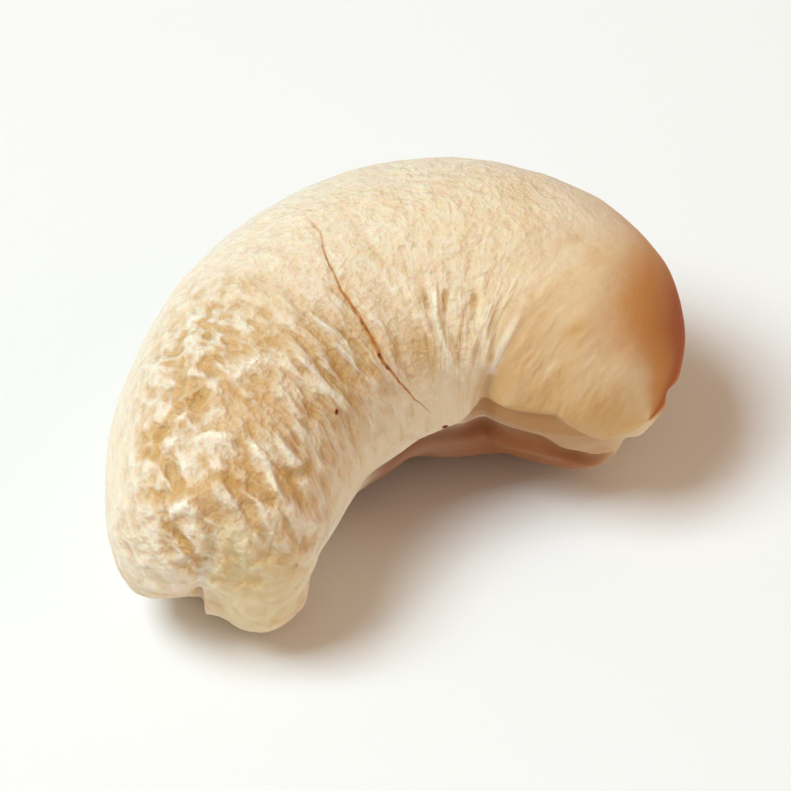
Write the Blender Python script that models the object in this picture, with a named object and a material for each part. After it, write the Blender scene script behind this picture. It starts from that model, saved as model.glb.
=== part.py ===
"""A cashew kernel, shelled and skinned: two seed halves grown together and bent like a kidney.

Metres, +Z up. The kernel lies on its flank, as it comes to rest by itself. The origin is on
the surface under it, below the middle of its box. The line from tip to tip runs along X, with
the germ tip at -X, and the hollow side looks towards -Y.

The form is worked out in millimetres, on a straightened kernel first. "along" is the distance
on the centre line from the germ end, "out" is the distance from that line towards the round
back, and "up" is the distance from the plane in which the kernel is bent. "turn" is the angle
round the centre line, 0 at the back, 90 on the upper flank and 180 on the hollow side.

A span is a pair of values between which something grows from nothing to its full size. A spot
is a middle and a half width. The upper flank is the one that shows, with the wrinkles.
"""

import math

import bpy
import numpy as np
from mathutils import Euler, Vector, noise

MM = 0.001

# The centre line: a cubic curve from the germ end to the blunt end
GERM_END = (-8.75, -4.1)
GERM_PULL = (-3.85, 4.7)
BLUNT_PULL = (6.7, 2.75)
BLUNT_END = (8.05, -3.3)

# How far the flesh stands from the centre line, and how the ends are rounded
BELLY_HALF_WIDTH = 5.8
GERM_HALF_WIDTH = 4.5
BLUNT_HALF_WIDTH = 5.0
FULLEST_AT = 0.62
THICK_FOR_WIDTH = 1.16
GERM_CAP = 3.0
BLUNT_CAP = 4.5
GERM_SQUARENESS = 2.4
BLUNT_SQUARENESS = 2.1

# How it lies: leant over towards its tips and rolled a little, with its low places pressed flat
LEAN_DEG = 8.4
ROLL_DEG = -2.2
CENTRE_LINE_HEIGHT = 6.19
SHIFT_X = -0.02
SHIFT_Y = 0.07

# The germ tip: the lower half stops short outside the notch, and swells into a lobe inside it
GERM_TIP_ALONG = (0.4, -1.5)
NOTCH_OUT = 0.7
NOTCH_EDGE = 0.2
LOWER_HALF_SHORT = 1.05
SHORT_FADE_OUT = (3.6, 1.4)
SHORT_UP = (-0.3, -1.4)
INNER_LOBE_RISE = 0.6
INNER_LOBE_OUT = (0.3, -2.0)
INNER_LOBE_FADE_OUT = (-4.4, -3.0)
INNER_LOBE_UP = (3.6, -2.0)
NOTCH_ROUND_DEPTH = 0.5
NOTCH_ROUND_OUT = (0.1, 0.9)
NOTCH_ROUND_UP = (1.0, -1.0)
TIP_GROOVE_DEPTH = 0.34
TIP_GROOVE_HALF_WIDTH = 0.36
TIP_GROOVE_SLANT = 0.2
TIP_GROOVE_FADE_UP = (5.2, 2.0)
TIP_GROOVE_FADE_DOWN = (-5.0, -2.5)

# The seam, where the two halves meet all the way round
HOLLOW_SEAM_UP = -0.6
HOLLOW_SEAM_DROP_GERM = 0.9
HOLLOW_SEAM_DROP_GERM_ALONG = (12.0, 8.0)
HOLLOW_SEAM_DROP_BLUNT = 3.0
HOLLOW_SEAM_DROP_BLUNT_ALONG = (23.6, 25.4)
BACK_SEAM_UP = -0.2
BACK_SEAM_SWAY = 0.25
BACK_SEAM_SWAY_PITCH = 0.4
HOLLOW_TO_BACK_OUT = (-2.0, 3.0)
SEAM_HALF_WIDTH = 0.3
HOLLOW_SEAM_DEPTH = 0.2
BACK_SEAM_DEPTH = 0.09
SEAM_START_ALONG = (0.0, 7.0)

# The hollow side: a wall pressed in between the upper half's lip and the seam, and a crease
HOLLOW_OUT = (-0.2, -1.6)
WALL_DEPTH = 0.36
WALL_START_ALONG = (8.0, 12.0)
WALL_END_ALONG = (26.0, 25.2)
WALL_FOOT_UP = (-0.9, 0.1)
LIP_START = (9.0, -1.0)
LIP_HIGH = (24.0, 1.9)
LIP_END = (25.4, 0.2)
LIP_SOFTNESS = 0.6
CREASE_ALONG = (21.2, 0.6)
CREASE_TURN = (162.0, 16.0)
CREASE_DEPTH = 0.16

# The blunt end: two folds notch its lower edge. Each has its place out, its height and its depth
BLUNT_TIP_ALONG = (23.2, 24.8)
END_NOTCHES = ((-0.1, -2.8, 0.6), (2.3, -1.6, 0.45))
END_NOTCH_HALF_WIDTH = 0.4
END_NOTCH_HALF_LENGTH = 1.7
END_NOTCH_SLANT = 0.42
END_LOBE_CUT = 0.36
END_LOBE_OUT = (1.0, 1.3)
END_LOBE_UP = (-2.6, 1.8)

# Broad swells and dents: height, then the spot along and the spot of turn
SWELLS_AND_DENTS = (
    (0.42, (12.5, 10.5), (139.0, 25.0)),
    (0.15, (3.0, 2.5), (198.0, 20.0)),
    (0.26, (24.3, 0.9), (242.0, 16.0)),
    (-0.33, (-1.0, 1.3), (199.0, 18.0)),
    (-0.26, (12.2, 1.8), (216.0, 16.0)),
    (-0.24, (23.0, 1.3), (219.0, 14.0)),
    (-0.10, (12.8, 1.6), (143.0, 10.0)),
)

# Flesh that fills the valley in the angle of the bend: how much, the two ends of the valley in
# the plane of the bend, how much less it is at the far end, how far it reaches to the sides,
# and from what height up
WEB_HEIGHT = 0.45
WEB_START = (3.7, -4.2)
WEB_END = (6.1, -3.4)
WEB_TAPER = 0.65
WEB_REACH = 1.0
WEB_UP = (1.0, 2.6)

# Uneven growth: depth in millimetres, and pitch in waves to the millimetre
SWAY_DEPTH = 0.16
SWAY_PITCH = 0.17
PEBBLE_DEPTH = 0.10
PEBBLE_PITCH = 0.62
SMOOTH_BACK_TURN = (5.0, 45.0)
SMOOTH_BACK_SHARE = 0.6
UPPER_FLANK_UP = (1.0, 3.0)

# Lumps on the crown of the germ limb, ridges that slant down its inner side to the tip, and
# ridges that fan out from the bend
LUMP_DEPTH = 0.36
LUMP_PITCH = 0.62
LUMP_TURN = (74.0, 24.0)
LUMP_ALONG = (10.0, 5.0)
RIDGE_DEPTH = 0.30
RIDGE_PITCH = 0.6
RIDGE_STRETCH = 5.0
SLANT_TURN = (122.0, 26.0)
SLANT_ALONG = (11.0, 6.0)
SLANT_DEG = -70.0
FAN_TURN = (132.0, 20.0)
FAN_ALONG = (16.0, 3.6)
FAN_LEAN = 0.055
NOISE_SEED = 7.0

# The mesh: cells across each end face, and rings between the ends
CELLS = 20
RINGS = 36
LENGTH_STEPS = 400

FLESH_COLOUR = (0.80, 0.66, 0.45, 1.0)
FLESH_ROUGHNESS = 0.55


def grow(value, span):
    """0 before the span and 1 past it, with a smooth rise between. A span may run backwards."""
    x = min(max((value - span[0]) / (span[1] - span[0]), 0.0), 1.0)
    return x * x * (3.0 - 2.0 * x)


def bump(value, spot):
    """1 at the middle of the spot, falling off smoothly on both sides of it."""
    return math.exp(-(((value - spot[0]) / spot[1]) ** 2))


def straight_line(value, start, end):
    """The height of the line from start to end, level beyond them."""
    share = min(max((value - start[0]) / (end[0] - start[0]), 0.0), 1.0)
    return start[1] + share * (end[1] - start[1])


def centre_line(t):
    """A point of the centre line and the direction there, both in its plane."""
    a, b, c, d = (np.array(point) for point in (GERM_END, GERM_PULL, BLUNT_PULL, BLUNT_END))
    u = 1.0 - t
    place = u**3 * a + 3 * u * u * t * b + 3 * u * t * t * c + t**3 * d
    slope = u * u * (b - a) + 2 * u * t * (c - b) + t * t * (d - c)
    return place, slope / np.linalg.norm(slope)


def lengths_along():
    """The distance along the centre line from the germ end, at evenly spaced t."""
    places = np.array([centre_line(i / LENGTH_STEPS)[0] for i in range(LENGTH_STEPS + 1)])
    gaps = np.linalg.norm(np.diff(places, axis=0), axis=1)
    return np.concatenate(([0.0], np.cumsum(gaps)))


LENGTHS = lengths_along()
GERM_SPEED = 3.0 * math.dist(GERM_END, GERM_PULL)
BLUNT_SPEED = 3.0 * math.dist(BLUNT_PULL, BLUNT_END)


def length_to(t):
    """The distance along the centre line from the germ end to t."""
    return float(np.interp(t * LENGTH_STEPS, np.arange(LENGTH_STEPS + 1), LENGTHS))


def half_width(t):
    """Half the width in the plane of the bend. It runs on smoothly past both ends."""
    if t < FULLEST_AT:
        end, reach = GERM_HALF_WIDTH, FULLEST_AT
    else:
        end, reach = BLUNT_HALF_WIDTH, 1.0 - FULLEST_AT
    return BELLY_HALF_WIDTH - (BELLY_HALF_WIDTH - end) * ((t - FULLEST_AT) / reach) ** 2


def square_off(axial, radial, squareness):
    """Moves a point of the unit quarter circle out to a squarer curve."""
    size = (axial**squareness + radial**squareness) ** (1.0 / squareness)
    return axial / size, radial / size


def straight_place(i, j, k, cells, rings):
    """A lattice corner on the straightened kernel: its t, and its places beyond, out and up."""
    half = cells // 2
    a = math.tan(math.pi / 4 * (2 * i / cells - 1))
    b = math.tan(math.pi / 4 * (2 * j / cells - 1))
    before = max(0, half - k) / half
    after = max(0, k - half - rings) / half
    t = min(max((k - half) / rings, 0.0), 1.0)
    c = math.tan(math.pi / 4 * max(before, after))
    across = math.hypot(a, b)
    size = math.hypot(across, c)
    if before > 0.0:
        axial, radial = square_off(c / size, across / size, GERM_SQUARENESS)
        beyond = -axial * GERM_CAP
        wide = half_width(beyond / GERM_SPEED)
    else:
        axial, radial = square_off(c / size, across / size, BLUNT_SQUARENESS)
        beyond = axial * BLUNT_CAP
        wide = half_width(t + beyond / BLUNT_SPEED)
    share = radial / across if across > 0.0 else 0.0
    return t, beyond, share * a * wide, share * b * wide * THICK_FOR_WIDTH


def box_lattice(cells, rings):
    """The corners on the skin of a box of cells, and the four-sided faces between them."""
    deep = cells + rings
    corners = {}
    for k in range(deep + 1):
        for j in range(cells + 1):
            for i in range(cells + 1):
                if i in (0, cells) or j in (0, cells) or k in (0, deep):
                    corners[(i, j, k)] = len(corners)
    faces = []
    for i in range(cells):
        for j in range(cells):
            faces.append([(i, j, 0), (i, j + 1, 0), (i + 1, j + 1, 0), (i + 1, j, 0)])
            faces.append([(i, j, deep), (i + 1, j, deep), (i + 1, j + 1, deep), (i, j + 1, deep)])
    for k in range(deep):
        for m in range(cells):
            faces.append([(m, 0, k), (m + 1, 0, k), (m + 1, 0, k + 1), (m, 0, k + 1)])
            faces.append([(m, cells, k), (m, cells, k + 1), (m + 1, cells, k + 1), (m + 1, cells, k)])
            faces.append([(0, m, k), (0, m, k + 1), (0, m + 1, k + 1), (0, m + 1, k)])
            faces.append([(cells, m, k), (cells, m + 1, k), (cells, m + 1, k + 1), (cells, m, k + 1)])
    return list(corners), [[corners[corner] for corner in face] for face in faces]


def web(x, y, up):
    """How much the flesh that fills the angle of the bend adds to the height at a place."""
    leg = np.array(WEB_END) - WEB_START
    share = min(max(float(np.dot(np.array((x, y)) - WEB_START, leg) / np.dot(leg, leg)), 0.0), 1.0)
    gap = math.dist((x, y), WEB_START + share * leg)
    return WEB_HEIGHT * (1.0 - WEB_TAPER * share) * bump(gap, (0.0, WEB_REACH)) * grow(up, WEB_UP)


def bend(t, beyond, out, up):
    """The bent kernel's point for a point of the straightened one, with the web in the bend."""
    place, along = centre_line(t)
    outward = np.array((-along[1], along[0]))
    x, y = place + along * beyond + outward * out
    return float(x), float(y), up + web(x, y, up)


def germ_tip(along, out, up):
    """The groove that parts the tip, the short lower half outside it and the lobe inside it."""
    short = grow(out, (NOTCH_OUT - NOTCH_EDGE, NOTCH_OUT + NOTCH_EDGE))
    short *= grow(out, SHORT_FADE_OUT) * grow(up, SHORT_UP)
    lobe = grow(out, INNER_LOBE_OUT) * grow(out, INNER_LOBE_FADE_OUT) * grow(up, INNER_LOBE_UP)
    groove = bump(out, (NOTCH_OUT - TIP_GROOVE_SLANT * max(up, 0.0), TIP_GROOVE_HALF_WIDTH))
    groove *= grow(up, TIP_GROOVE_FADE_UP) * grow(up, TIP_GROOVE_FADE_DOWN)
    rounded = NOTCH_ROUND_DEPTH * bump(out, NOTCH_ROUND_OUT) * grow(up, NOTCH_ROUND_UP)
    height = INNER_LOBE_RISE * lobe - LOWER_HALF_SHORT * short - TIP_GROOVE_DEPTH * groove - rounded
    return grow(along, GERM_TIP_ALONG) * height


def lip_height(along):
    """Where the lip of the upper half runs on the hollow side."""
    if along < LIP_HIGH[0]:
        return straight_line(along, LIP_START, LIP_HIGH)
    return straight_line(along, LIP_HIGH, LIP_END)


def seam_height(along, out):
    """Where the two halves meet."""
    hollow = HOLLOW_SEAM_UP - HOLLOW_SEAM_DROP_GERM * grow(along, HOLLOW_SEAM_DROP_GERM_ALONG)
    hollow -= HOLLOW_SEAM_DROP_BLUNT * grow(along, HOLLOW_SEAM_DROP_BLUNT_ALONG)
    back = BACK_SEAM_UP + BACK_SEAM_SWAY * math.sin(along * BACK_SEAM_SWAY_PITCH)
    return hollow + (back - hollow) * grow(out, HOLLOW_TO_BACK_OUT)


def seam_and_hollow(along, out, up, turn):
    """The seam groove, the wall pressed in over it, and the crease across the bend."""
    inside = grow(out, HOLLOW_OUT)
    seam = seam_height(along, out)
    wall = grow(lip_height(along) - up, (0.0, LIP_SOFTNESS)) * grow(up - seam, WALL_FOOT_UP)
    wall *= grow(along, WALL_START_ALONG) * grow(along, WALL_END_ALONG) * inside
    depth = BACK_SEAM_DEPTH + (HOLLOW_SEAM_DEPTH - BACK_SEAM_DEPTH) * inside
    depth *= grow(along, SEAM_START_ALONG)
    groove = depth * bump(up, (seam - SEAM_HALF_WIDTH / 2, SEAM_HALF_WIDTH))
    crease = CREASE_DEPTH * bump(along, CREASE_ALONG) * bump(turn, CREASE_TURN)
    return -WALL_DEPTH * wall - groove - crease


def blunt_end(along, out, up):
    """Folds that run over the blunt end and notch its outline."""
    cut = END_LOBE_CUT * bump(out, END_LOBE_OUT) * bump(up, END_LOBE_UP)
    for at_out, at_up, depth in END_NOTCHES:
        line = at_out - END_NOTCH_SLANT * (up - at_up)
        cut += depth * bump(out, (line, END_NOTCH_HALF_WIDTH)) * bump(up, (at_up, END_NOTCH_HALF_LENGTH))
    return -grow(along, BLUNT_TIP_ALONG) * cut


def swells_and_dents(along, turn):
    total = 0.0
    for height, along_spot, turn_spot in SWELLS_AND_DENTS:
        total += height * bump(along, along_spot) * bump(turn, turn_spot)
    return total


def uneven(x, y, layer):
    """Smooth noise from -1 to 1 on a sheet. Each layer is another sheet."""
    return noise.noise(Vector((x, y, NOISE_SEED + layer)))


def uneven_growth(out, turn, place):
    """Slow swaying all over, and pebbling that fades on the back."""
    sway = noise.noise(Vector(place) * SWAY_PITCH)
    back = max(bump(turn, SMOOTH_BACK_TURN), bump(turn - 360.0, SMOOTH_BACK_TURN))
    pebbles = noise.noise(Vector(place) * PEBBLE_PITCH + Vector((NOISE_SEED, 2.0, 9.0)))
    return SWAY_DEPTH * sway + PEBBLE_DEPTH * (1.0 - SMOOTH_BACK_SHARE * back) * pebbles


def wrinkles(along, out, up, turn):
    """Lumps on the germ limb's crown, slanting ridges inside it, and ridges fanned at the bend."""
    upper = grow(up, UPPER_FLANK_UP)
    lumps = bump(turn, LUMP_TURN) * grow(along, LUMP_ALONG) * upper
    height = LUMP_DEPTH * lumps * uneven(along * LUMP_PITCH, out * LUMP_PITCH, 3.0)
    slant = math.radians(SLANT_DEG)
    across = (along * math.cos(slant) + out * math.sin(slant)) * RIDGE_PITCH
    down = (out * math.cos(slant) - along * math.sin(slant)) * RIDGE_PITCH / RIDGE_STRETCH
    slanting = bump(turn, SLANT_TURN) * grow(along, SLANT_ALONG) * upper
    height += RIDGE_DEPTH * slanting * uneven(across, down, 11.0)
    fan = (along - FAN_LEAN * (turn - FAN_TURN[0])) * RIDGE_PITCH
    fanned = bump(turn, FAN_TURN) * bump(along, FAN_ALONG)
    return height + RIDGE_DEPTH * fanned * uneven(fan, out * RIDGE_PITCH / RIDGE_STRETCH, 19.0)


def relief(t, beyond, out, up, place):
    """How far the surface stands proud of the plain bent form."""
    along = length_to(t) + beyond
    turn = math.degrees(math.atan2(up, out)) % 360.0
    height = germ_tip(along, out, up)
    height += seam_and_hollow(along, out, up, turn)
    height += blunt_end(along, out, up)
    height += swells_and_dents(along, turn)
    height += uneven_growth(out, turn, place)
    return height + wrinkles(along, out, up, turn)


def lay_down(points):
    """Turns the kernel as it rests, and presses its lowest places flat on the surface."""
    turned = np.array(Euler((math.radians(LEAN_DEG), math.radians(ROLL_DEG), 0.0)).to_matrix())
    laid = points @ turned.T + np.array((SHIFT_X, SHIFT_Y, CENTRE_LINE_HEIGHT))
    laid[:, 2] = np.maximum(laid[:, 2], 0.0)
    return laid


def kernel_mesh(cells, rings):
    """The kernel as one closed skin of four-sided faces."""
    corners, faces = box_lattice(cells, rings)
    straight = [straight_place(*corner, cells, rings) for corner in corners]
    places = [bend(*one) for one in straight]
    mesh = bpy.data.meshes.new("kernel")
    mesh.from_pydata(places, [], faces)
    normals = np.zeros(len(places) * 3)
    mesh.vertex_normals.foreach_get("vector", normals)
    heights = np.array([relief(*one, place) for one, place in zip(straight, places)])
    grown = np.array(places) + normals.reshape(-1, 3) * heights[:, None]
    mesh.vertices.foreach_set("co", (lay_down(grown) * MM).ravel())
    mesh.shade_smooth()
    mesh.update()
    return mesh


def flesh_material():
    material = bpy.data.materials.new("kernel_flesh")
    material.use_nodes = True
    shader = material.node_tree.nodes["Principled BSDF"]
    shader.inputs["Base Color"].default_value = FLESH_COLOUR
    shader.inputs["Roughness"].default_value = FLESH_ROUGHNESS
    shader.inputs["Metallic"].default_value = 0.0
    return material


def main():
    for old in list(bpy.data.objects):
        bpy.data.objects.remove(old)
    kernel = bpy.data.objects.new("kernel", kernel_mesh(CELLS, RINGS))
    kernel.data.materials.append(flesh_material())
    bpy.context.scene.collection.objects.link(kernel)


main()
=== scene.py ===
"""A cashew kernel lying on a pale table, seen from above its hollow side in soft studio light.

The form is worked out in millimetres on a straightened kernel first. "along" is the distance on
the centre line from the germ end, "out" is the distance from that line towards the round back,
and "up" is the distance from the plane in which the kernel is bent. "turn" is the angle round
the centre line, 0 at the back, 90 on the upper flank and 180 on the hollow side.

A span is a pair of values between which something grows from nothing to its full size. A spot
is a middle and a half width. The upper flank is the one that shows, with the wrinkles.
"""

import math

import bpy
import numpy as np
from mathutils import Euler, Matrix, Quaternion, Vector, noise


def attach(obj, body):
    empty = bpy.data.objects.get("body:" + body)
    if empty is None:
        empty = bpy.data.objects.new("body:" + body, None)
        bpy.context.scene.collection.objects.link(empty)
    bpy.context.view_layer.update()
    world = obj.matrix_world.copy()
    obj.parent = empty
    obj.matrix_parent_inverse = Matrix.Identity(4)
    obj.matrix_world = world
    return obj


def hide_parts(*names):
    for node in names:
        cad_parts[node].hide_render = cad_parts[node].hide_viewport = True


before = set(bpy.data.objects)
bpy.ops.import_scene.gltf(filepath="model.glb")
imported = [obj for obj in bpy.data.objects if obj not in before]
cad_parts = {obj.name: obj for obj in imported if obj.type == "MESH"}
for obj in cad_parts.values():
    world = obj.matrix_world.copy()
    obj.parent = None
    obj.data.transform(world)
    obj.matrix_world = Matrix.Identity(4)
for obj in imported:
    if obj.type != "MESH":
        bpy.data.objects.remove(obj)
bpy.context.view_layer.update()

MM = 0.001

# The centre line: a cubic curve from the germ end to the blunt end
GERM_END = (-8.75, -4.1)
GERM_PULL = (-3.85, 4.7)
BLUNT_PULL = (6.7, 2.75)
BLUNT_END = (8.05, -3.3)

# How far the flesh stands from the centre line, and how the ends are rounded
BELLY_HALF_WIDTH = 5.8
GERM_HALF_WIDTH = 4.5
BLUNT_HALF_WIDTH = 5.0
FULLEST_AT = 0.62
THICK_FOR_WIDTH = 1.16
GERM_CAP = 3.0
BLUNT_CAP = 4.5
GERM_SQUARENESS = 2.4
BLUNT_SQUARENESS = 2.1

# How it lies: leant over towards its tips and rolled a little, with its low places pressed flat
LEAN_DEG = 8.4
ROLL_DEG = -2.2
CENTRE_LINE_HEIGHT = 6.19
SHIFT_X = -0.02
SHIFT_Y = 0.07

# The germ tip: the lower half stops short outside the notch, and swells into a lobe inside it
GERM_TIP_ALONG = (0.4, -1.5)
NOTCH_OUT = 0.7
NOTCH_EDGE = 0.2
LOWER_HALF_SHORT = 1.05
SHORT_FADE_OUT = (3.6, 1.4)
SHORT_UP = (-0.3, -1.4)
INNER_LOBE_RISE = 0.6
INNER_LOBE_OUT = (0.3, -2.0)
INNER_LOBE_FADE_OUT = (-4.4, -3.0)
INNER_LOBE_UP = (3.6, -2.0)
NOTCH_ROUND_DEPTH = 0.5
NOTCH_ROUND_OUT = (0.1, 0.9)
NOTCH_ROUND_UP = (1.0, -1.0)
TIP_GROOVE_DEPTH = 0.34
TIP_GROOVE_HALF_WIDTH = 0.36
TIP_GROOVE_SLANT = 0.2
TIP_GROOVE_FADE_UP = (5.2, 2.0)
TIP_GROOVE_FADE_DOWN = (-5.0, -2.5)

# The seam, where the two halves meet all the way round
HOLLOW_SEAM_UP = -0.6
HOLLOW_SEAM_DROP_GERM = 0.9
HOLLOW_SEAM_DROP_GERM_ALONG = (12.0, 8.0)
HOLLOW_SEAM_DROP_BLUNT = 3.0
HOLLOW_SEAM_DROP_BLUNT_ALONG = (23.6, 25.4)
BACK_SEAM_UP = -0.2
BACK_SEAM_SWAY = 0.25
BACK_SEAM_SWAY_PITCH = 0.4
HOLLOW_TO_BACK_OUT = (-2.0, 3.0)
SEAM_HALF_WIDTH = 0.3
HOLLOW_SEAM_DEPTH = 0.2
BACK_SEAM_DEPTH = 0.09
SEAM_START_ALONG = (0.0, 7.0)

# The hollow side: a wall pressed in between the upper half's lip and the seam, and a crease
HOLLOW_OUT = (-0.2, -1.6)
WALL_DEPTH = 0.36
WALL_START_ALONG = (8.0, 12.0)
WALL_END_ALONG = (26.0, 25.2)
WALL_FOOT_UP = (-0.9, 0.1)
LIP_START = (9.0, -1.0)
LIP_HIGH = (24.0, 1.9)
LIP_END = (25.4, 0.2)
LIP_SOFTNESS = 0.6
CREASE_ALONG = (21.2, 0.6)
CREASE_TURN = (162.0, 16.0)
CREASE_DEPTH = 0.16

# The blunt end: two folds notch its lower edge. Each has its place out, its height and its depth
BLUNT_TIP_ALONG = (23.2, 24.8)
END_NOTCHES = ((-0.1, -2.8, 0.6), (2.3, -1.6, 0.45))
END_NOTCH_HALF_WIDTH = 0.4
END_NOTCH_HALF_LENGTH = 1.7
END_NOTCH_SLANT = 0.42
END_LOBE_CUT = 0.36
END_LOBE_OUT = (1.0, 1.3)
END_LOBE_UP = (-2.6, 1.8)

# Broad swells and dents: height, then the spot along and the spot of turn
SWELLS_AND_DENTS = (
    (0.42, (12.5, 10.5), (139.0, 25.0)),
    (0.15, (3.0, 2.5), (198.0, 20.0)),
    (0.26, (24.3, 0.9), (242.0, 16.0)),
    (-0.33, (-1.0, 1.3), (199.0, 18.0)),
    (-0.26, (12.2, 1.8), (216.0, 16.0)),
    (-0.24, (23.0, 1.3), (219.0, 14.0)),
    (-0.10, (12.8, 1.6), (143.0, 10.0)),
)

# Flesh that fills the valley in the angle of the bend: how much, the two ends of the valley in
# the plane of the bend, how much less it is at the far end, how far it reaches to the sides,
# and from what height up
WEB_HEIGHT = 0.45
WEB_START = (3.7, -4.2)
WEB_END = (6.1, -3.4)
WEB_TAPER = 0.65
WEB_REACH = 1.0
WEB_UP = (1.0, 2.6)

# Uneven growth: depth in millimetres, and pitch in waves to the millimetre
SWAY_DEPTH = 0.16
SWAY_PITCH = 0.17
PEBBLE_DEPTH = 0.10
PEBBLE_PITCH = 0.62
SMOOTH_BACK_TURN = (5.0, 45.0)
SMOOTH_BACK_SHARE = 0.6
UPPER_FLANK_UP = (1.0, 3.0)

# Lumps on the crown of the germ limb, ridges that slant down its inner side to the tip, and
# ridges that fan out from the bend
LUMP_DEPTH = 0.36
LUMP_PITCH = 0.62
LUMP_TURN = (74.0, 24.0)
LUMP_ALONG = (10.0, 5.0)
RIDGE_DEPTH = 0.30
RIDGE_PITCH = 0.6
RIDGE_STRETCH = 5.0
SLANT_TURN = (122.0, 26.0)
SLANT_ALONG = (11.0, 6.0)
SLANT_DEG = -70.0
FAN_TURN = (132.0, 20.0)
FAN_ALONG = (16.0, 3.6)
FAN_LEAN = 0.055
NOISE_SEED = 7.0

# The finer skin: cells across each end face, rings between the ends, how much smaller it is
# made so that it stays in the box, and the steps in which the centre line is measured
CELLS = 78
RINGS = 184
KEPT_IN_BOX = 0.999
LENGTH_STEPS = 400

# Where each kind of fine skin lies
LUMPY_TURN = (70.0, 30.0)
LUMPY_ALONG = (9.0, 5.5)
SLANTING_TURN = (128.0, 40.0)
SLANTING_ALONG = (14.0, 8.0)
ROUGH_TIP_ALONG = (1.0, -1.5)
ROUGH_TIP_UP = (-5.0, -2.0)
ROUGH_TIP_SHARE = 0.55
PEBBLED_TURN = (85.0, 75.0)
PEBBLED_ALONG_FADE = (22.0, 17.0)
SKIN_UP = (-0.3, 1.4)

# Which way the fine ridges run, as parts along, out and up: at the germ end and at the bend
RIDGE_RUN_AT_TIP = (-0.60, -0.52, -0.61)
RIDGE_RUN_AT_BEND = (0.20, -0.77, -0.60)
RIDGE_RUN_CHANGE = (1.0, 11.0)
RIDGE_STRETCH_FINE = 3.2

# Folds that can be picked out one by one. Each has its height in millimetres, its half width,
# and the places it runs through as pairs of along and turn
FOLDS = (
    (-0.24, 0.34, ((0.9, 56.0), (0.5, 62.0), (-0.2, 70.0), (-0.8, 73.0))),
    (-0.20, 0.30, ((-1.0, 80.0), (-0.6, 87.0), (-0.5, 92.0), (-0.8, 106.0), (-1.0, 119.0))),
    (-0.24, 0.30, ((3.9, 80.0), (3.3, 85.0), (2.7, 78.0), (2.4, 71.0))),
    (-0.20, 0.28, ((2.4, 71.0), (1.9, 66.0), (1.4, 60.0))),
    (-0.22, 0.32, ((0.4, 128.0), (0.9, 134.0), (1.6, 137.0))),
    (0.20, 0.34, ((0.9, 70.0), (1.1, 80.0), (1.2, 96.0))),
    (0.18, 0.30, ((-1.6, 66.0), (-1.4, 76.0), (-2.1, 90.0))),
    (0.20, 0.30, ((-1.2, 98.0), (-1.6, 107.0), (-2.1, 116.0))),
    (0.18, 0.28, ((1.0, 106.0), (0.3, 113.0), (-0.6, 119.0))),
    (0.16, 0.32, ((3.6, 90.0), (4.8, 97.0))),
    (-0.16, 0.26, ((-2.2, 64.0), (-2.6, 72.0))),
    (0.16, 0.25, ((14.5, 117.0), (14.3, 125.0), (14.9, 134.0), (15.6, 144.0), (16.8, 152.0))),
    (-0.14, 0.22, ((15.3, 117.0), (15.0, 126.0), (15.7, 135.0), (16.4, 144.0))),
    (0.14, 0.24, ((16.3, 121.0), (16.3, 129.0), (17.4, 138.0), (17.7, 146.0), (19.0, 154.0))),
    (-0.13, 0.24, ((17.2, 119.0), (17.2, 127.0), (18.3, 137.0), (18.4, 144.0))),
    (0.11, 0.24, ((18.3, 121.0), (18.3, 128.0), (19.5, 137.0), (19.6, 147.0))),
    (-0.08, 0.20, ((19.3, 116.0), (19.4, 126.0), (20.2, 142.0))),
    (0.11, 0.34, ((20.6, 114.0), (20.8, 124.0), (20.9, 138.0), (21.0, 150.0))),
    (0.12, 0.26, ((13.3, 116.0), (13.6, 128.0), (14.6, 142.0), (15.4, 150.0))),
    (-0.14, 0.26, ((13.2, 106.0), (13.8, 114.0), (14.0, 122.0))),
    (0.12, 0.26, ((12.2, 108.0), (12.6, 118.0), (12.9, 124.0))),
    (-0.12, 0.22, ((11.2, 128.0), (11.0, 138.0), (11.6, 146.0))),
    (0.12, 0.24, ((8.4, 120.0), (8.0, 130.0), (8.6, 140.0))),
)

# How much of its height and width each fold keeps, and how unevenly it is broken up
FOLD_HEIGHT_SHARE = 0.95
FOLD_WIDTH_SHARE = 0.8
FOLD_BREAK_PITCH = 0.9
FOLD_EVEN_SHARE = 0.65
FOLD_BROKEN_SHARE = 0.75

# The crack across the bend: where it runs, as pairs of turn and along, and how wide it gapes
CRACK = (
    (62.0, 11.1), (70.0, 10.8), (80.0, 10.8), (88.0, 10.4), (94.0, 10.2), (104.0, 9.9),
    (118.0, 9.9), (134.0, 9.8), (145.0, 10.4), (157.0, 11.4), (167.0, 12.8), (172.0, 13.6),
)
CRACK_SHOW_TURN = (58.0, 100.0)
CRACK_END_TURN = (171.0, 160.0)
CRACK_DIP = 0.04
CRACK_DIP_HALF_WIDTH = 0.16
CRACK_HALF_WIDTH = 0.05
CRACK_GAPE = 0.05
CRACK_GAPE_TURN = (132.0, 20.0)

# The fine skin that the mesh holds: depths in millimetres and pitches in waves to the
# millimetre, what noise the lumps rise over, the level that ridges and pebbles are cut down
# from, and how pebbled the skin is where it isn't pebbled much
SKIN_SIZES = {
    "Lump Depth": 0.24,
    "Lump Pitch": 1.05,
    "Ridge Depth": 0.2,
    "Ridge Pitch": 1.2,
    "Pebble Depth": 0.05,
    "Pebble Pitch": 1.7,
}
MESH_LUMP_SPAN = (-0.5, 0.3)
MESH_CUT_LEVEL = 0.6
MESH_PEBBLED_ALL_OVER = 0.15

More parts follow.
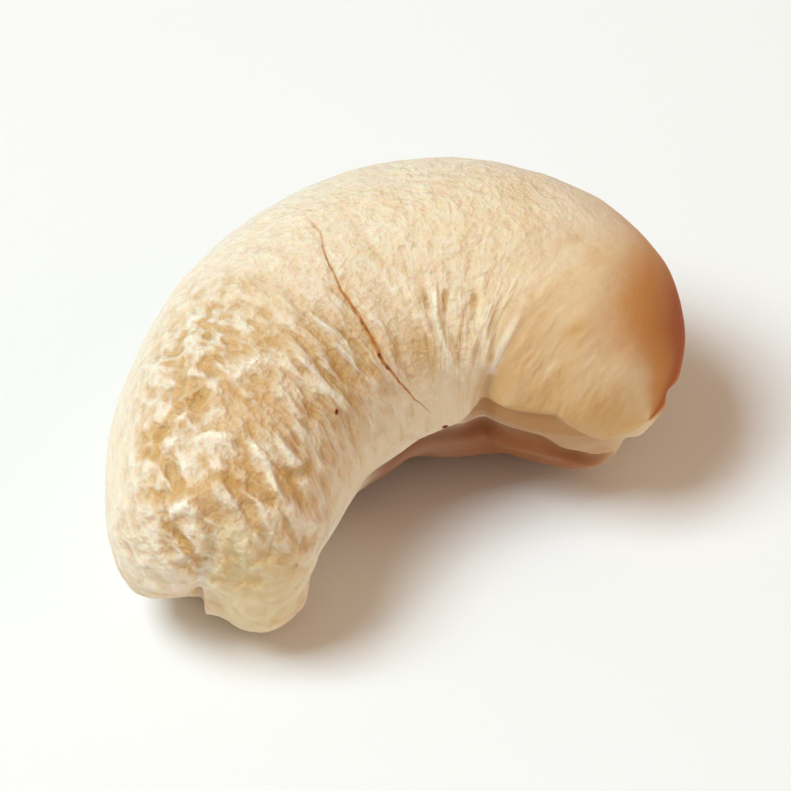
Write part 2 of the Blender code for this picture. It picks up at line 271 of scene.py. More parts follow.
# What is too fine for the mesh, as relief in the material. Pitches are in waves to the
# millimetre and heights in millimetres. A span of noise is where it rises from low to high
FINE_WANDER = 0.5
FINE_WANDER_PITCH = 0.9
FINE_LUMP_PITCH = 1.9
FINE_LUMP_SPAN = (-0.45, 0.3)
FINE_LUMP_HEIGHT = 0.26
FINE_CREST_PITCH = 1.7
FINE_CREST_SPAN = (-0.38, 0.28)
FINE_CREST_SHARE = 0.6
FINE_RIDGE_PITCH = 1.2
FINE_RIDGE_SPAN = (-0.35, 0.4)
FINE_RIDGE_HEIGHT = 0.26
FINE_PEBBLE_PITCH = 2.6
FINE_PEBBLE_SWING = 0.8
FINE_PEBBLE_HEIGHT = 0.15
FINE_PEBBLED_ALL_OVER = 0.2
FINE_STREAK_PITCH = 1.5
FINE_STREAK_SPAN = (-0.3, 0.4)
FINE_STREAK_HEIGHT = 0.1
STREAKED_TURN = (132.0, 30.0)
STREAKED_ALONG = (10.0, 14.5)
RIDGE_LOW_SHARE = 0.6
PEBBLE_LOW_SHARE = 0.55


def tone(red, green, blue):
    """A colour given in display values from 0 to 255, as amounts of light."""
    shares = [value / 255.0 for value in (red, green, blue)]
    return (*[s / 12.92 if s <= 0.04045 else ((s + 0.055) / 1.055) ** 2.4 for s in shares], 1.0)


IVORY = tone(243, 233, 214)
CREAM = tone(239, 222, 192)
GOLDEN = tone(208, 162, 94)
PALE_RIDGE = tone(249, 242, 226)
AMBER = tone(198, 128, 54)
# Dark brown of the blunt end's rim: partly toasting, partly painted shade and painted warm reflected light
TOASTED_AND_SHADED_BROWN = tone(156, 69, 4)
GERM_CREAM = tone(228, 208, 160)
# Painted shade for the wall pressed in under the lip, which faces downwards
WALL_PAINTED_SHADE = tone(176, 122, 80)
# Painted shade for the lower half under the seam in the hollow
LOWER_HALF_PAINTED_SHADE = tone(140, 78, 38)
CRACK_BROWN = tone(196, 130, 66)
CRACK_DARK = tone(120, 56, 22)
SPECK_BROWN = tone(128, 52, 26)

# The flesh's surface, and how far light goes into it in millimetres, for red, green and blue
FLESH_ROUGHNESS = 0.6
FLESH_SPECULAR = 0.12
LIGHT_REACH = 0.35
LIGHT_REACH_BY_COLOUR = (1.0, 0.55, 0.28)

# Mottle and clouds all over, and streaks across the flank
MOTTLE_PITCH = 0.22
MOTTLE_SPAN = (-0.35, 0.45)
CLOUD_PITCH = 0.75
CLOUD_SPAN = (0.0, 0.6)
CLOUD_STRENGTH = 0.55
STREAK_PITCH = 1.3
STREAK_FLATNESS = 0.3
STREAK_TURN = (40.0, 90.0)
STREAK_RISE = 0.5
STREAK_STRENGTH = 0.45

# Valleys and crests: the span of relief in millimetres, and how strongly each is tinted, partly the flesh's
# own tones, partly painted shade in valleys and painted highlight on crests
VALLEY_SPAN = (-0.04, -0.22)
VALLEY_STRENGTH = 0.4
LOW_STRENGTH = 0.35
LOWEST_STRENGTH = 0.42
MOST_GOLDEN = 0.85
CREST_SPAN = (0.0, 0.16)
CREST_STRENGTH = 0.6

# Tints, each with its colour, its strength and its places. "near" goes with a value and a spot
# of it, "from" with a value and a span of it, and a tint lies where all its places are
CROWN_AND_END_TINTS = (
    # Partly the flesh's own pale tone, partly painted highlight on the crown that faces the key light
    (IVORY, 0.8, (("near", "turn", (60.0, 50.0)), ("from", "along", (19.0, 8.0)))),
    (GOLDEN, 0.45, (("from", "along", (16.0, 23.0)),)),
)
FLANK_TINTS = (
    (GOLDEN, 0.6, (("near", "along", (12.9, 1.7)), ("near", "turn", (136.0, 13.0)))),
    (GOLDEN, 0.6, (("from", "turn", (95.0, 150.0)), ("from", "along", (19.0, 22.0)))),
)
FOLD_AND_HOLLOW_TINTS = (
    # Golden in the folds' valleys and pale on their crests: partly the flesh's own tones, partly painted
    # shade and painted highlight
    (GOLDEN, 0.6, (("from", "fold", (-0.03, -0.11)),)),
    (PALE_RIDGE, 0.6, (("from", "fold", (0.03, 0.14)),)),
    # Painted shade: the wall between the upper half's lip and the seam, browner because it faces downwards
    (WALL_PAINTED_SHADE, 0.6, (
        ("from", "lip_off", (-0.3, 0.7)), ("from", "out", (0.0, -2.0)), ("from", "along", (13.0, 20.0)),
    )),
    # Painted shade: the lower half in the hollow, dark brown below the seam where it lies in shadow
    (LOWER_HALF_PAINTED_SHADE, 0.85, (
        ("from", "seam_off", (0.3, -0.5)), ("from", "out", (0.0, -3.0)), ("from", "along", (4.0, 9.0)),
    )),
    # Painted highlight: a thin pale line along the seam in the hollow, where the upper half's edge catches
    # the light
    (PALE_RIDGE, 0.7, (
        ("near", "seam_off", (0.12, 0.09)), ("from", "out", (-1.0, -3.0)), ("from", "along", (8.0, 11.0)),
    )),
)
TIP_TINTS = (
    (GOLDEN, 0.3, (("from", "along", (1.0, -2.0)), ("from", "up", (0.5, -2.5)))),
    (GERM_CREAM, 0.6, (("from", "along", (-1.6, -2.6)), ("from", "out", (0.9, -0.6)))),
)

# The rim's amber and brown are partly toasting, partly painted shade and painted warm reflected light.
# The blunt end's rim: the turn of its edge, and how that rises, drops and sways. Each stage has
# its colour, its strength, how softly it starts inside the edge, and how it fades on the back
RIM_TURN = 28.0
RIM_RISE = 44.0
RIM_RISE_ALONG = (19.5, 24.5)
RIM_DROP = 12.0
RIM_DROP_ALONG = (24.2, 25.4)
RIM_SWAY = 9.0
RIM_BACK_SWAY = 30.0
RIM_ALONG = (18.0, 22.0)
RIM_STAGES = (
    (AMBER, 0.85, (-40.0, 4.0), (-80.0, 10.0)),
    (TOASTED_AND_SHADED_BROWN, 1.0, (-4.0, 46.0), (-30.0, 24.0)),
)

# How ragged the crack is, and where along it the colour breaks off or is darker
CRACK_GRAIN_PITCH = 2.6
CRACK_WAVER = 0.09
CRACK_EDGE = (1.5, 0.4)
CRACK_BREAK_SPAN = (-0.9, 0.0)
CRACK_DARK_SPAN = (0.05, 0.35)

# Bits of the dark inner skin that stayed on: along and turn of each, and its radius
SPECKS = (
    ((5.0, 134.8), 0.16),
    ((14.5, 178.0), 0.13),
    ((4.9, 156.0), 0.08),
)
SPECK_RAGGEDNESS = 0.6
SPECK_EDGE = (1.3, 0.7)

TABLE_SIDE = 1.2
TABLE_WHITE = 0.86
TABLE_ROUGHNESS = 0.6
TABLE_SPECULAR = 0.2

CAMERA_AZIMUTH = 25.4
CAMERA_ELEVATION = 49.5
CAMERA_ROLL = 3.05
CAMERA_AWAY = 0.36
CAMERA_LENS = 405.0
CAMERA_SEES_FROM = 0.01
CAMERA_SEES_TO = 10.0
LOOK_AT = (0.00061, -0.00156, 0.0058)

# The lights: the direction each comes from, as seen from the camera, and its size and power
LIGHT_AWAY = 0.45
KEY_FROM_FRONT = 0.08
KEY_FROM_LEFT = 0.5
KEY_UP = 1.0
KEY_SIDE = 0.2
KEY_POWER = 1.93
KEY_COLOUR = (0.77, 0.93, 1.0)
FILL_FROM_FRONT = 0.4
FILL_FROM_RIGHT = 0.9
FILL_UP = 0.6
FILL_SIDE = 0.4
FILL_POWER = 0.3
FILL_COLOUR = (1.0, 0.8, 0.65)
SKY_STRENGTH = 0.42
SKY_COLOUR = (1.0, 0.74, 0.54)


def grow(value, span):
    """0 before the span and 1 past it, with a smooth rise between. A span may run backwards."""
    x = min(max((value - span[0]) / (span[1] - span[0]), 0.0), 1.0)
    return x * x * (3.0 - 2.0 * x)


def bump(value, spot):
    """1 at the middle of the spot, falling off smoothly on both sides of it."""
    return math.exp(-(((value - spot[0]) / spot[1]) ** 2))


def straight_line(value, start, end):
    """The height of the line from start to end, level beyond them."""
    share = min(max((value - start[0]) / (end[0] - start[0]), 0.0), 1.0)
    return start[1] + share * (end[1] - start[1])


def centre_line(t):
    """A point of the centre line and the direction there, both in its plane."""
    a, b, c, d = (np.array(point) for point in (GERM_END, GERM_PULL, BLUNT_PULL, BLUNT_END))
    u = 1.0 - t
    place = u**3 * a + 3 * u * u * t * b + 3 * u * t * t * c + t**3 * d
    slope = u * u * (b - a) + 2 * u * t * (c - b) + t * t * (d - c)
    return place, slope / np.linalg.norm(slope)


def lengths_along():
    """The distance along the centre line from the germ end, at evenly spaced t."""
    places = np.array([centre_line(i / LENGTH_STEPS)[0] for i in range(LENGTH_STEPS + 1)])
    gaps = np.linalg.norm(np.diff(places, axis=0), axis=1)
    return np.concatenate(([0.0], np.cumsum(gaps)))


LENGTHS = lengths_along()
GERM_SPEED = 3.0 * math.dist(GERM_END, GERM_PULL)
BLUNT_SPEED = 3.0 * math.dist(BLUNT_PULL, BLUNT_END)


def length_to(t):
    """The distance along the centre line from the germ end to t."""
    return float(np.interp(t * LENGTH_STEPS, np.arange(LENGTH_STEPS + 1), LENGTHS))


def half_width(t):
    """Half the width in the plane of the bend. It runs on smoothly past both ends."""
    if t < FULLEST_AT:
        end, reach = GERM_HALF_WIDTH, FULLEST_AT
    else:
        end, reach = BLUNT_HALF_WIDTH, 1.0 - FULLEST_AT
    return BELLY_HALF_WIDTH - (BELLY_HALF_WIDTH - end) * ((t - FULLEST_AT) / reach) ** 2


def square_off(axial, radial, squareness):
    """Moves a point of the unit quarter circle out to a squarer curve."""
    size = (axial**squareness + radial**squareness) ** (1.0 / squareness)
    return axial / size, radial / size


def straight_place(i, j, k, cells, rings):
    """A lattice corner on the straightened kernel: its t, and its places beyond, out and up."""
    half = cells // 2
    a = math.tan(math.pi / 4 * (2 * i / cells - 1))
    b = math.tan(math.pi / 4 * (2 * j / cells - 1))
    before = max(0, half - k) / half
    after = max(0, k - half - rings) / half
    t = min(max((k - half) / rings, 0.0), 1.0)
    c = math.tan(math.pi / 4 * max(before, after))
    across = math.hypot(a, b)
    size = math.hypot(across, c)
    if before > 0.0:
        axial, radial = square_off(c / size, across / size, GERM_SQUARENESS)
        beyond = -axial * GERM_CAP
        wide = half_width(beyond / GERM_SPEED)
    else:
        axial, radial = square_off(c / size, across / size, BLUNT_SQUARENESS)
        beyond = axial * BLUNT_CAP
        wide = half_width(t + beyond / BLUNT_SPEED)
    share = radial / across if across > 0.0 else 0.0
    return t, beyond, share * a * wide, share * b * wide * THICK_FOR_WIDTH


def box_lattice(cells, rings):
    """The corners on the skin of a box of cells, and the four-sided faces between them."""
    deep = cells + rings
    corners = {}
    for k in range(deep + 1):
        for j in range(cells + 1):
            for i in range(cells + 1):
                if i in (0, cells) or j in (0, cells) or k in (0, deep):
                    corners[(i, j, k)] = len(corners)
    faces = []
    for i in range(cells):
        for j in range(cells):
            faces.append([(i, j, 0), (i, j + 1, 0), (i + 1, j + 1, 0), (i + 1, j, 0)])
            faces.append([(i, j, deep), (i + 1, j, deep), (i + 1, j + 1, deep), (i, j + 1, deep)])
    for k in range(deep):
        for m in range(cells):
            faces.append([(m, 0, k), (m + 1, 0, k), (m + 1, 0, k + 1), (m, 0, k + 1)])
            faces.append([(m, cells, k), (m, cells, k + 1), (m + 1, cells, k + 1), (m + 1, cells, k)])
            faces.append([(0, m, k), (0, m, k + 1), (0, m + 1, k + 1), (0, m + 1, k)])
            faces.append([(cells, m, k), (cells, m + 1, k), (cells, m + 1, k + 1), (cells, m, k + 1)])
    return list(corners), [[corners[corner] for corner in face] for face in faces]


def web(x, y, up):
    """How much the flesh that fills the angle of the bend adds to the height at a place."""
    leg = np.array(WEB_END) - WEB_START
    share = min(max(float(np.dot(np.array((x, y)) - WEB_START, leg) / np.dot(leg, leg)), 0.0), 1.0)
    gap = math.dist((x, y), WEB_START + share * leg)
    return WEB_HEIGHT * (1.0 - WEB_TAPER * share) * bump(gap, (0.0, WEB_REACH)) * grow(up, WEB_UP)


def bend(t, beyond, out, up):
    """The bent kernel's point for a point of the straightened one, with the web in the bend."""
    place, along = centre_line(t)
    outward = np.array((-along[1], along[0]))
    x, y = place + along * beyond + outward * out
    return float(x), float(y), up + web(x, y, up)


def germ_tip(along, out, up):
    """The groove that parts the tip, the short lower half outside it and the lobe inside it."""
    short = grow(out, (NOTCH_OUT - NOTCH_EDGE, NOTCH_OUT + NOTCH_EDGE))
    short *= grow(out, SHORT_FADE_OUT) * grow(up, SHORT_UP)
    lobe = grow(out, INNER_LOBE_OUT) * grow(out, INNER_LOBE_FADE_OUT) * grow(up, INNER_LOBE_UP)
    groove = bump(out, (NOTCH_OUT - TIP_GROOVE_SLANT * max(up, 0.0), TIP_GROOVE_HALF_WIDTH))
    groove *= grow(up, TIP_GROOVE_FADE_UP) * grow(up, TIP_GROOVE_FADE_DOWN)
    rounded = NOTCH_ROUND_DEPTH * bump(out, NOTCH_ROUND_OUT) * grow(up, NOTCH_ROUND_UP)
    height = INNER_LOBE_RISE * lobe - LOWER_HALF_SHORT * short - TIP_GROOVE_DEPTH * groove - rounded
    return grow(along, GERM_TIP_ALONG) * height


def lip_height(along):
    """Where the lip of the upper half runs on the hollow side."""
    if along < LIP_HIGH[0]:
        return straight_line(along, LIP_START, LIP_HIGH)
    return straight_line(along, LIP_HIGH, LIP_END)


def seam_height(along, out):
    """Where the two halves meet."""
    hollow = HOLLOW_SEAM_UP - HOLLOW_SEAM_DROP_GERM * grow(along, HOLLOW_SEAM_DROP_GERM_ALONG)
    hollow -= HOLLOW_SEAM_DROP_BLUNT * grow(along, HOLLOW_SEAM_DROP_BLUNT_ALONG)
    back = BACK_SEAM_UP + BACK_SEAM_SWAY * math.sin(along * BACK_SEAM_SWAY_PITCH)
    return hollow + (back - hollow) * grow(out, HOLLOW_TO_BACK_OUT)


def seam_and_hollow(along, out, up, turn):
    """The seam groove, the wall pressed in over it, and the crease across the bend."""
    inside = grow(out, HOLLOW_OUT)
    seam = seam_height(along, out)
    wall = grow(lip_height(along) - up, (0.0, LIP_SOFTNESS)) * grow(up - seam, WALL_FOOT_UP)
    wall *= grow(along, WALL_START_ALONG) * grow(along, WALL_END_ALONG) * inside
    depth = BACK_SEAM_DEPTH + (HOLLOW_SEAM_DEPTH - BACK_SEAM_DEPTH) * inside
    depth *= grow(along, SEAM_START_ALONG)
    groove = depth * bump(up, (seam - SEAM_HALF_WIDTH / 2, SEAM_HALF_WIDTH))
    crease = CREASE_DEPTH * bump(along, CREASE_ALONG) * bump(turn, CREASE_TURN)
    return -WALL_DEPTH * wall - groove - crease


def blunt_end(along, out, up):
    """Folds that run over the blunt end and notch its outline."""
    cut = END_LOBE_CUT * bump(out, END_LOBE_OUT) * bump(up, END_LOBE_UP)
    for at_out, at_up, depth in END_NOTCHES:
        line = at_out - END_NOTCH_SLANT * (up - at_up)
        cut += depth * bump(out, (line, END_NOTCH_HALF_WIDTH)) * bump(up, (at_up, END_NOTCH_HALF_LENGTH))
    return -grow(along, BLUNT_TIP_ALONG) * cut


def swells_and_dents(along, turn):
    """The broad swells and dents, all in one height."""
    total = 0.0
    for height, along_spot, turn_spot in SWELLS_AND_DENTS:
        total += height * bump(along, along_spot) * bump(turn, turn_spot)
    return total


def uneven(x, y, layer):
    """Smooth noise from -1 to 1 on a sheet. Each layer is another sheet."""
    return noise.noise(Vector((x, y, NOISE_SEED + layer)))


def uneven_growth(out, turn, place):
    """Slow swaying all over, and pebbling that fades on the back."""
    sway = noise.noise(Vector(place) * SWAY_PITCH)
    back = max(bump(turn, SMOOTH_BACK_TURN), bump(turn - 360.0, SMOOTH_BACK_TURN))
    pebbles = noise.noise(Vector(place) * PEBBLE_PITCH + Vector((NOISE_SEED, 2.0, 9.0)))
    return SWAY_DEPTH * sway + PEBBLE_DEPTH * (1.0 - SMOOTH_BACK_SHARE * back) * pebbles


def wrinkles(along, out, up, turn):
    """Lumps on the germ limb's crown, slanting ridges inside it, and ridges fanned at the bend."""
    upper = grow(up, UPPER_FLANK_UP)
    lumps = bump(turn, LUMP_TURN) * grow(along, LUMP_ALONG) * upper
    height = LUMP_DEPTH * lumps * uneven(along * LUMP_PITCH, out * LUMP_PITCH, 3.0)
    slant = math.radians(SLANT_DEG)
    across = (along * math.cos(slant) + out * math.sin(slant)) * RIDGE_PITCH
    down = (out * math.cos(slant) - along * math.sin(slant)) * RIDGE_PITCH / RIDGE_STRETCH
    slanting = bump(turn, SLANT_TURN) * grow(along, SLANT_ALONG) * upper
    height += RIDGE_DEPTH * slanting * uneven(across, down, 11.0)
    fan = (along - FAN_LEAN * (turn - FAN_TURN[0])) * RIDGE_PITCH
    fanned = bump(turn, FAN_TURN) * bump(along, FAN_ALONG)
    return height + RIDGE_DEPTH * fanned * uneven(fan, out * RIDGE_PITCH / RIDGE_STRETCH, 19.0)


def relief(t, beyond, out, up, place):
    """How far the surface stands proud of the plain bent form."""
    along = length_to(t) + beyond
    turn = math.degrees(math.atan2(up, out)) % 360.0
    height = germ_tip(along, out, up)
    height += seam_and_hollow(along, out, up, turn)
    height += blunt_end(along, out, up)
    height += swells_and_dents(along, turn)
    height += uneven_growth(out, turn, place)
    return height + wrinkles(along, out, up, turn)


def lay_down(points):
    """Turns the kernel as it rests, and presses its lowest places flat on the surface."""
    turned = np.array(Euler((math.radians(LEAN_DEG), math.radians(ROLL_DEG), 0.0)).to_matrix())
    laid = points @ turned.T + np.array((SHIFT_X, SHIFT_Y, CENTRE_LINE_HEIGHT))
    laid[:, 2] = np.maximum(laid[:, 2], 0.0)
    return laid


class Wiring:
    """Adds nodes to a tree and joins them, so that a sum in nodes reads like a sum."""

    def __init__(self, tree):
        self.tree = tree

    def node(self, kind, **settings):
        node = self.tree.nodes.new(kind)
        for name, value in settings.items():
            setattr(node, name, value)
        return node

    def feed(self, socket, value):
        """Joins a value that comes from another node, or sets a plain one."""
        if isinstance(value, bpy.types.NodeSocket):
            self.tree.links.new(value, socket)
        else:
            socket.default_value = value

    def maths(self, operation, *values):
        """A sum or the like of plain values and sockets."""
        node = self.node("ShaderNodeMath", operation=operation)
        for socket, value in zip(node.inputs, values):
            self.feed(socket, value)
        return node.outputs[0]

    def vector_maths(self, operation, *values):
        node = self.node("ShaderNodeVectorMath", operation=operation)
        for socket, value in zip(node.inputs, values):
            self.feed(socket, value)
        return node.outputs["Value" if operation == "LENGTH" else "Vector"]

    def add(self, *values):
        total = values[0]
        for value in values[1:]:
            total = self.maths("ADD", total, value)
        return total

    def times(self, *values):
        total = values[0]
        for value in values[1:]:
            total = self.maths("MULTIPLY", total, value)
        return total

    def vector(self, x, y, z):
        node = self.node("ShaderNodeCombineXYZ")
        for socket, value in zip(node.inputs, (x, y, z)):
            self.feed(socket, value)
        return node.outputs[0]

    def scaled(self, place, size):
        """A place or a direction, made longer or shorter."""
        node = self.node("ShaderNodeVectorMath", operation="SCALE")
        self.feed(node.inputs[0], place)
        self.feed(node.inputs["Scale"], size)
        return node.outputs["Vector"]

    def step(self, kind, geometry, inputs, **settings):
        """A node that the geometry passes through, with what it is told."""
        node = self.node(kind, **settings)
        self.feed(node.inputs["Geometry"], geometry)
        for name, value in inputs.items():
            self.feed(node.inputs[name], value)
        return node.outputs["Geometry"]

    def grow(self, value, span):
        """0 before the span and 1 past it, with a smooth rise between. A span may run backwards."""
        start, end = span
        node = self.node("ShaderNodeMapRange", interpolation_type="SMOOTHSTEP")
        backwards = start > end
        self.feed(node.inputs["Value"], value)
        node.inputs["From Min"].default_value = end if backwards else start
        node.inputs["From Max"].default_value = start if backwards else end
        node.inputs["To Min"].default_value = 1.0 if backwards else 0.0
        node.inputs["To Max"].default_value = 0.0 if backwards else 1.0
        return node.outputs["Result"]

    def uneven(self, place, pitch, detail=2.0, roughness=0.5, seed=0.0):
        """Smooth noise from -1 to 1."""
        node = self.node("ShaderNodeTexNoise", noise_dimensions="4D")
        self.feed(node.inputs["Vector"], place)
        self.feed(node.inputs["Scale"], pitch)
        node.inputs["W"].default_value = seed
        node.inputs["Detail"].default_value = detail
        node.inputs["Roughness"].default_value = roughness
        return self.maths("MULTIPLY_ADD", node.outputs[0], 2.0, -1.0)


def turn_of(kernel_places):
    """The angle round the centre line in degrees, from 0 to 360."""
    return np.degrees(np.arctan2(kernel_places[:, 2], kernel_places[:, 1])) % 360.0


def grow_all(values, span):
    """grow() for an array."""
    x = np.clip((values - span[0]) / (span[1] - span[0]), 0.0, 1.0)
    return x * x * (3.0 - 2.0 * x)


def bump_all(values, spot):
    """bump() for an array."""
    return np.exp(-(((values - spot[0]) / spot[1]) ** 2))


def nearest_corner(kernel_places, along, turn):
    """The corner of the skin that lies nearest to a place given by along and turn."""
    radius = np.hypot(kernel_places[:, 1], kernel_places[:, 2])
    apart = np.abs((turn_of(kernel_places) - turn + 180.0) % 360.0 - 180.0)
    gap = (kernel_places[:, 0] - along) ** 2 + (radius * np.radians(apart)) ** 2
    return int(np.argmin(gap))


# Keeps the sum below whole where a path stands still
NO_LENGTH = 1e-12


def distance_to_path(points, path):
    """How far each point is from a path of straight pieces."""
    nearest = np.full(len(points), np.inf)
    for start, end in zip(path[:-1], path[1:]):
        leg = end - start
        share = np.clip((points - start) @ leg / (leg @ leg + NO_LENGTH), 0.0, 1.0)
        gap = np.linalg.norm(points - start - share[:, None] * leg, axis=1)
        nearest = np.minimum(nearest, gap)
    return nearest


class Paint(Wiring):
    """Wiring for a material: the places it reads, and the colour so far."""

    def __init__(self, tree):
        super().__init__(tree)
        self.known = {}
        self.place = self.scaled(self.node("ShaderNodeTexCoord").outputs["Object"], 1.0 / MM)
        along, out, up = (self.value_of(name) for name in ("along", "out", "up"))
        self.turn = self.times(self.maths("ARCTAN2", up, out), math.degrees(1.0))
        self.known["turn"] = self.turn
        self.across = self.vector(along, self.times(out, STREAK_FLATNESS), self.times(up, STREAK_FLATNESS))
        self.colour = None

    def value_of(self, name):
        """What was kept with each corner under a name, or the turn."""
        if name not in self.known:
            self.known[name] = self.node("ShaderNodeAttribute", attribute_name=name).outputs["Fac"]
        return self.known[name]

    def blend(self, share, under, over):
        """One colour over another, by a share from 0 to 1."""
        node = self.node("ShaderNodeMix", data_type="RGBA")
        sockets = {socket.identifier: socket for socket in node.inputs}
        self.feed(sockets["Factor_Float"], share)
        self.feed(sockets["A_Color"], under)
        self.feed(sockets["B_Color"], over)
        return {socket.identifier: socket for socket in node.outputs}["Result_Color"]

    def tint(self, share, over):
        """Lays a colour over the colour so far, by a share from 0 to 1."""
        self.colour = self.blend(share, self.colour, over)

    def bump(self, value, spot):
        """1 at the middle of the spot, falling off smoothly on both sides of it."""
        off = self.times(self.maths("SUBTRACT", value, spot[0]), 1.0 / spot[1])
        return self.maths("EXPONENT", self.times(off, off, -1.0))


def fold_heights(grown, kernel_places):
    """How far the named folds lift or sink the skin."""
    total = np.zeros(len(grown))
    unevenness = np.array([noise.noise(Vector(point) * FOLD_BREAK_PITCH) for point in grown])
    broken = FOLD_EVEN_SHARE + FOLD_BROKEN_SHARE * unevenness
    for height, half_width, run in FOLDS:
        path = [grown[nearest_corner(kernel_places, along, turn)] for along, turn in run]
        gap = distance_to_path(grown, path)
        total += FOLD_HEIGHT_SHARE * height * bump_all(gap, (0.0, half_width * FOLD_WIDTH_SHARE)) * broken
    return total


def crack_values(kernel_places):
    """How far the skin is from the crack, signed across it, and how clearly the crack shows."""
    turns, alongs = np.array(CRACK).T
    turn = turn_of(kernel_places)
    off = kernel_places[:, 0] - np.interp(turn, turns, alongs)
    show = grow_all(turn, CRACK_SHOW_TURN) * grow_all(turn, CRACK_END_TURN)
    return off, show * (kernel_places[:, 2] > 0.0)


def ridge_places(kernel_places):
    """Places on the straightened kernel, pressed together along the way the ridges run."""
    share = grow_all(kernel_places[:, 0], RIDGE_RUN_CHANGE)[:, None]
    run = np.array(RIDGE_RUN_AT_TIP) * (1.0 - share) + np.array(RIDGE_RUN_AT_BEND) * share
    run /= np.linalg.norm(run, axis=1)[:, None]
    far = np.sum(kernel_places * run, axis=1)[:, None]
    return kernel_places - run * far * (1.0 - 1.0 / RIDGE_STRETCH_FINE)


def store_values(mesh, kernel_places, folds):
    """Keeps with each corner what the nodes and the material need to know of it."""
    along, out, up = kernel_places.T
    turn = turn_of(kernel_places)
    upper = grow_all(up, SKIN_UP)
    off, show = crack_values(kernel_places)
    tip = ROUGH_TIP_SHARE * grow_all(along, ROUGH_TIP_ALONG) * grow_all(up, ROUGH_TIP_UP)
    lumpy = bump_all(turn, LUMPY_TURN) * grow_all(along, LUMPY_ALONG) * upper
    values = {
        "along": along,
        "out": out,
        "up": up,
        "fold": folds,
        "crack_off": off,
        "crack_show": show,
        "seam_off": up - np.array([seam_height(a, o) for a, o in zip(along, out)]),
        "lip_off": np.array([lip_height(a) for a in along]) - up,
        "lumpy": np.maximum(lumpy, tip),
        "slanting": bump_all(turn, SLANTING_TURN) * grow_all(along, SLANTING_ALONG) * upper,
        "pebbled": bump_all(turn, PEBBLED_TURN) * grow_all(along, PEBBLED_ALONG_FADE) * upper,
    }
    for name, numbers in values.items():
        layer = mesh.attributes.new(name, "FLOAT", "POINT")
        layer.data.foreach_set("value", np.asarray(numbers, dtype=np.float32))
    layer = mesh.attributes.new("ridge_place", "FLOAT_VECTOR", "POINT")
    layer.data.foreach_set("vector", ridge_places(kernel_places).astype(np.float32).ravel())


def kernel_skin(cells, rings):
    """The kernel with its broad relief and single folds, and its places when straightened."""
    corners, faces = box_lattice(cells, rings)
    straight = [straight_place(*corner, cells, rings) for corner in corners]
    places = [bend(*one) for one in straight]
    mesh = bpy.data.meshes.new("kernel")
    mesh.from_pydata(places, [], faces)
    normals = np.zeros(len(places) * 3)
    mesh.vertex_normals.foreach_get("vector", normals)
    normals = normals.reshape(-1, 3)
    heights = np.array([relief(*one, place) for one, place in zip(straight, places)])
    kernel_places = np.array([(length_to(t) + beyond, out, up) for t, beyond, out, up in straight])
    grown = np.array(places) + normals * heights[:, None]
    off, show = crack_values(kernel_places)
    folds = fold_heights(grown, kernel_places)
    folds -= CRACK_DIP * show * bump_all(off, (0.0, CRACK_DIP_HALF_WIDTH))
    grown += normals * folds[:, None]
    mesh.vertices.foreach_set("co", (lay_down(grown) * MM * KEPT_IN_BOX).ravel())
    store_values(mesh, kernel_places, folds)
    mesh.shade_smooth()
    mesh.update()
    return mesh, kernel_places


def stored(wiring, name, kind="FLOAT"):
    """What was kept with each corner under a name."""
    node = wiring.node("GeometryNodeInputNamedAttribute", data_type=kind)
    node.inputs["Name"].default_value = name
    return node.outputs["Attribute"]


def mesh_height(wiring, given):
    """The height in millimetres of the lumps, slanting ridges and pebbles that the mesh can hold."""
    place = wiring.scaled(wiring.node("GeometryNodeInputPosition").outputs[0], 1.0 / MM)
    rounded = wiring.uneven(place, given["Lump Pitch"], detail=1.0, roughness=0.5, seed=3.0)
    rounded = wiring.maths("SUBTRACT", wiring.grow(rounded, MESH_LUMP_SPAN), 1.0)
    lumps = wiring.times(rounded, given["Lump Depth"], stored(wiring, "lumpy"))
    ridge_place = stored(wiring, "ridge_place", "FLOAT_VECTOR")
    ridges = wiring.uneven(ridge_place, given["Ridge Pitch"], detail=1.5, roughness=0.5, seed=5.0)
    ridges = wiring.times(wiring.maths("SUBTRACT", ridges, MESH_CUT_LEVEL), given["Ridge Depth"])
    ridges = wiring.times(ridges, stored(wiring, "slanting"))
    pebbles = wiring.uneven(place, given["Pebble Pitch"], detail=1.5, roughness=0.6, seed=7.0)
    pebbles = wiring.times(wiring.maths("SUBTRACT", pebbles, MESH_CUT_LEVEL), given["Pebble Depth"])
    pebbles = wiring.times(pebbles, wiring.add(stored(wiring, "pebbled"), MESH_PEBBLED_ALL_OVER))
    return wiring.add(lumps, ridges, pebbles)


def on_or_over_table(wiring):
    """Each corner's own place, or the one on the table straight above it where it lies lower."""
    parts = wiring.node("ShaderNodeSeparateXYZ")
    wiring.feed(parts.inputs[0], wiring.node("GeometryNodeInputPosition").outputs[0])
    height = wiring.maths("MAXIMUM", parts.outputs["Z"], 0.0)
    return wiring.vector(parts.outputs["X"], parts.outputs["Y"], height)


